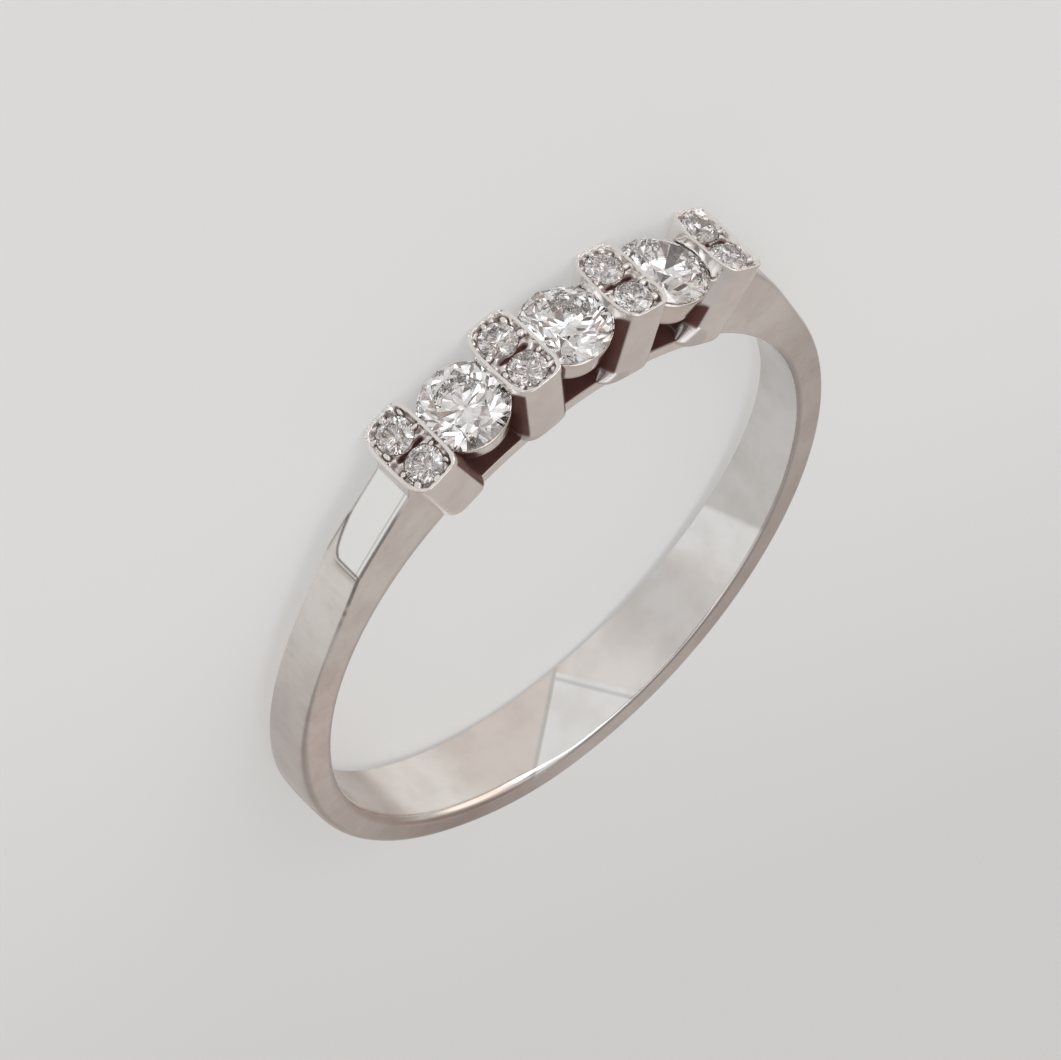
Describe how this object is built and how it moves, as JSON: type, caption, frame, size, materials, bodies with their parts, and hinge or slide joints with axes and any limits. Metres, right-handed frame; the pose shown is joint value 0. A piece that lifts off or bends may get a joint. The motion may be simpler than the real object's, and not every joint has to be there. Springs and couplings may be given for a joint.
{
  "type": "three-stone ring",
  "caption": "Slim finger ring with a row of round brilliants between jewelled cross bars, on a domed band with filed shoulders.",
  "frame": {"origin": "centre of the finger hole, midway between the ring's two flat sides", "axes": "+X along the row of stones, +Y from the finger hole out through the middle stone, +Z along the finger hole's axis, towards the side that faces up as the ring lies"},
  "size_m": [0.0188, 0.0208, 0.0026],
  "materials": {
    "white_gold": "polished rhodium-white gold",
    "brilliant": "colourless cut stone",
    "small_brilliant": "colourless cut stone"
  },
  "bodies": {
    "root": {"ring_metal": "white_gold", "stone_left": "brilliant", "stone_middle": "brilliant", "stone_right": "brilliant", "bar_1_stone_far": "small_brilliant", "bar_1_stone_near": "small_brilliant", "bar_2_stone_far": "small_brilliant", "bar_2_stone_near": "small_brilliant", "bar_3_stone_far": "small_brilliant", "bar_3_stone_near": "small_brilliant", "bar_4_stone_far": "small_brilliant", "bar_4_stone_near": "small_brilliant"}
  },
  "joints": []
}
